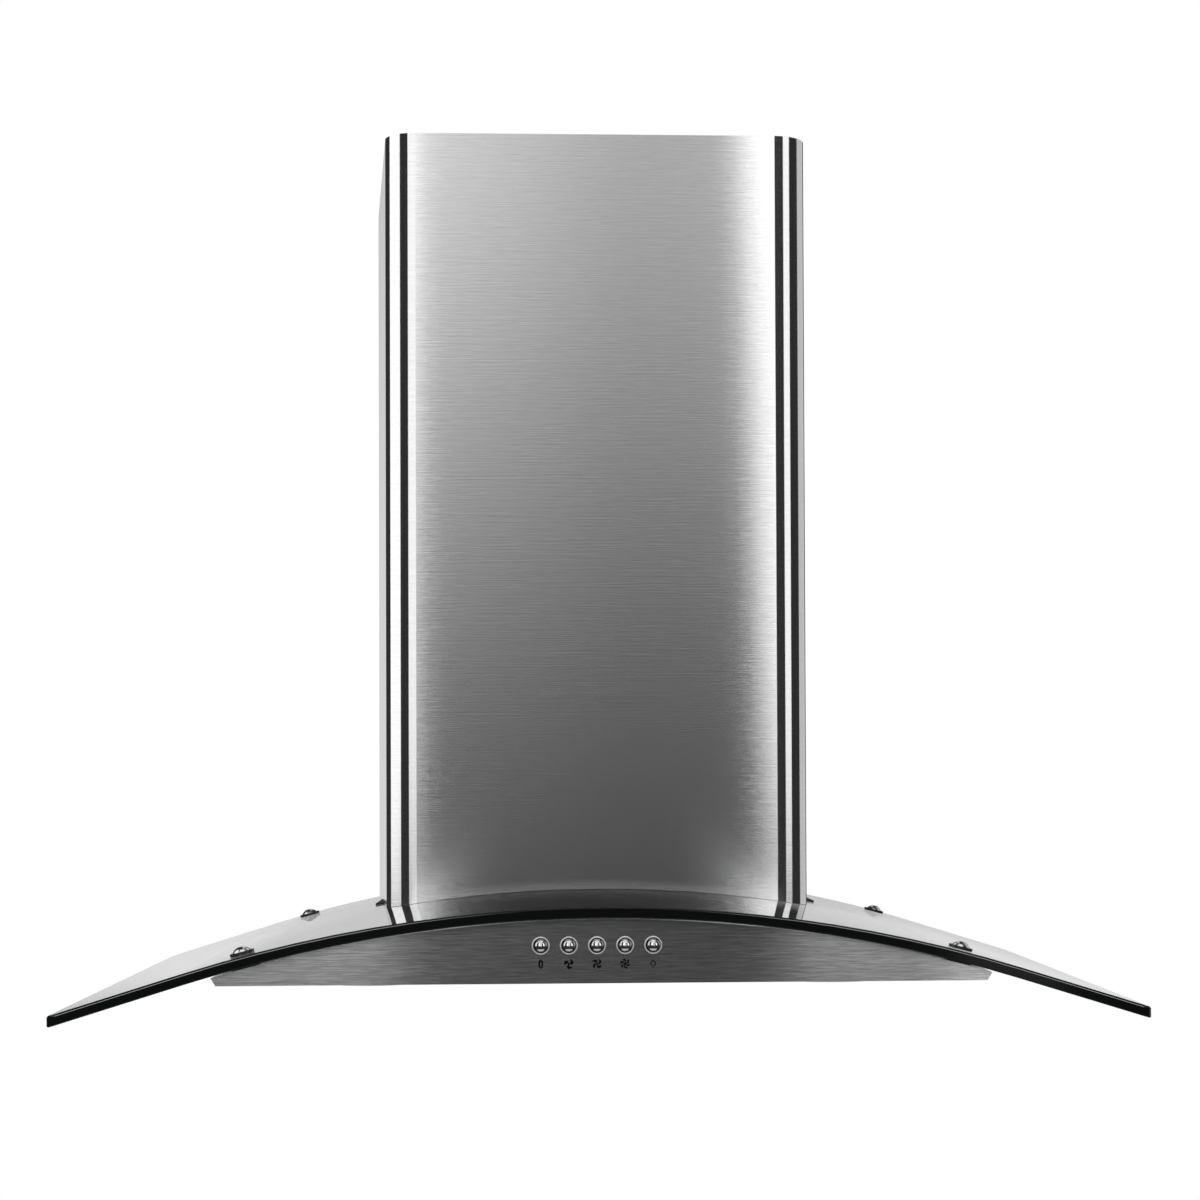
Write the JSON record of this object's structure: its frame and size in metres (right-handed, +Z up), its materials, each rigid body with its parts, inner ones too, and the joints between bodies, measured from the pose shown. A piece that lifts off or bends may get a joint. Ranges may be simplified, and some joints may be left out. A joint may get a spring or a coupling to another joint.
{
  "type": "wall mount range hood",
  "caption": "Wall mount range hood with a brushed steel chimney, an arched glass canopy, a slim arched control panel with round push buttons and grease filters underneath.",
  "frame": {"origin": "centre of the four wall screw holes, on the wall plane at the back of the blower box", "axes": "+X to the right seen from the front, +Y into the wall, +Z up"},
  "size_m": [0.6, 0.475, 0.538],
  "materials": {
    "tinted_glass": "polished",
    "brushed_chimney": "brushed",
    "brushed_steel": "brushed",
    "brushed_panel": "brushed",
    "polished_steel": "polished",
    "chrome": "polished",
    "screw_steel": "satin",
    "zinc_steel": "satin",
    "motor_metal": "satin",
    "filter_aluminium": "satin",
    "filter_mesh": "satin",
    "black_plastic": "matte",
    "grey_plastic": "matte",
    "white_plastic": "matte",
    "black_rubber": "matte",
    "black_washer": "satin",
    "lamp_glass": "frosted"
  },
  "bodies": {
    "hood": {"blower_box": "zinc_steel", "blower_top_plate": "zinc_steel", "button_bezels": "polished_steel", "cable_gland": "black_plastic", "capacitor": "white_plastic", "capacitor_clip": "zinc_steel", "chimney_base_seal": "black_rubber", "chimney_cover": "brushed_chimney", "chimney_cover_screws": "polished_steel", "chimney_hanger": "zinc_steel", "chimney_wedges": "black_rubber", "collar_screws": "screw_steel", "control_panel": "brushed_panel", "damper_pin": "screw_steel", "flange_screws": "screw_steel", "glass_bushes": "black_plastic", "glass_canopy": "tinted_glass", "glass_nuts": "zinc_steel", "glass_screws": "polished_steel", "glass_washers": "black_washer", "hood_shell": "brushed_steel", "lamp_bezels": "polished_steel", "lamp_body_left": "white_plastic", "lamp_body_right": "white_plastic", "lamp_bulbs": "lamp_glass", "lamp_lenses": "lamp_glass", "lamp_sockets": "white_plastic", "lid_screws": "screw_steel", "motor_bracket": "zinc_steel", "motor_grommets": "black_rubber", "motor_housing": "motor_metal", "motor_screws": "screw_steel", "outlet_adapter": "black_plastic", "outlet_collar": "black_plastic", "plate_screws": "screw_steel", "switch_block": "black_plastic", "switch_bracket": "zinc_steel", "terminal_box": "white_plastic", "terminal_box_lid": "white_plastic", "underside_plate": "brushed_steel", "volute_scroll": "zinc_steel", "volute_side_left": "zinc_steel", "volute_side_right": "zinc_steel"},
    "fan": {"impeller": "grey_plastic", "motor_shaft": "screw_steel", "impeller_nut": "screw_steel"},
    "front_flap": {"damper_flap_front": "grey_plastic"},
    "rear_flap": {"damper_flap_rear": "grey_plastic"},
    "left_filter": {"filter_frame_left": "filter_aluminium", "filter_mesh_left": "filter_mesh"},
    "right_filter": {"filter_frame_right": "filter_aluminium", "filter_mesh_right": "filter_mesh"},
    "left_latch": {"filter_latch_left": "black_plastic"},
    "right_latch": {"filter_latch_right": "black_plastic"},
    "off_button": {"button_off": "chrome"},
    "speed_1_button": {"button_speed_1": "chrome"},
    "speed_2_button": {"button_speed_2": "chrome"},
    "speed_3_button": {"button_speed_3": "chrome"},
    "lamp_button": {"button_lamp": "chrome"}
  },
  "joints": [
    {"name": "off_press", "type": "slide", "parent": "hood", "child": "off_button", "axis": [0, 1, 0], "range_m": [0, 0.0025], "stiffness_N_per_m": 400, "springref_m": -0.0015},
    {"name": "speed_1_press", "type": "slide", "parent": "hood", "child": "speed_1_button", "axis": [0, 1, 0], "range_m": [0, 0.0025], "stiffness_N_per_m": 400, "springref_m": -0.0015},
    {"name": "speed_2_press", "type": "slide", "parent": "hood", "child": "speed_2_button", "axis": [0, 1, 0], "range_m": [0, 0.0025], "stiffness_N_per_m": 400, "springref_m": -0.0015},
    {"name": "speed_3_press", "type": "slide", "parent": "hood", "child": "speed_3_button", "axis": [0, 1, 0], "range_m": [0, 0.0025], "stiffness_N_per_m": 400, "springref_m": -0.0015},
    {"name": "lamp_press", "type": "slide", "parent": "hood", "child": "lamp_button", "axis": [0, 1, 0], "range_m": [0, 0.0025], "stiffness_N_per_m": 400, "springref_m": -0.0015},
    {"name": "fan_spin", "type": "hinge", "parent": "hood", "child": "fan", "pos_m": [0, -0.141, -0.022], "axis": [1, 0, 0], "continuous": true},
    {"name": "front_flap_swing", "type": "hinge", "parent": "hood", "child": "front_flap", "pos_m": [0, -0.08243, 0.1302], "axis": [-1, 0, 0], "range_deg": [0, 75]},
    {"name": "rear_flap_swing", "type": "hinge", "parent": "hood", "child": "rear_flap", "pos_m": [0, -0.08243, 0.1302], "axis": [1, 0, 0], "range_deg": [0, 75]},
    {"name": "left_filter_swing", "type": "hinge", "parent": "hood", "child": "left_filter", "pos_m": [-0.093, -0.0565, -0.14767], "axis": [1, 0, 0], "range_deg": [0, 80]},
    {"name": "right_filter_swing", "type": "hinge", "parent": "hood", "child": "right_filter", "pos_m": [0.093, -0.0565, -0.14767], "axis": [1, 0, 0], "range_deg": [0, 80]},
    {"name": "left_latch_slide", "type": "slide", "parent": "left_filter", "child": "left_latch", "axis": [0, 1, 0], "range_m": [0, 0.005], "stiffness_N_per_m": 300, "springref_m": -0.004},
    {"name": "right_latch_slide", "type": "slide", "parent": "right_filter", "child": "right_latch", "axis": [0, 1, 0], "range_m": [0, 0.005], "stiffness_N_per_m": 300, "springref_m": -0.004}
  ]
}
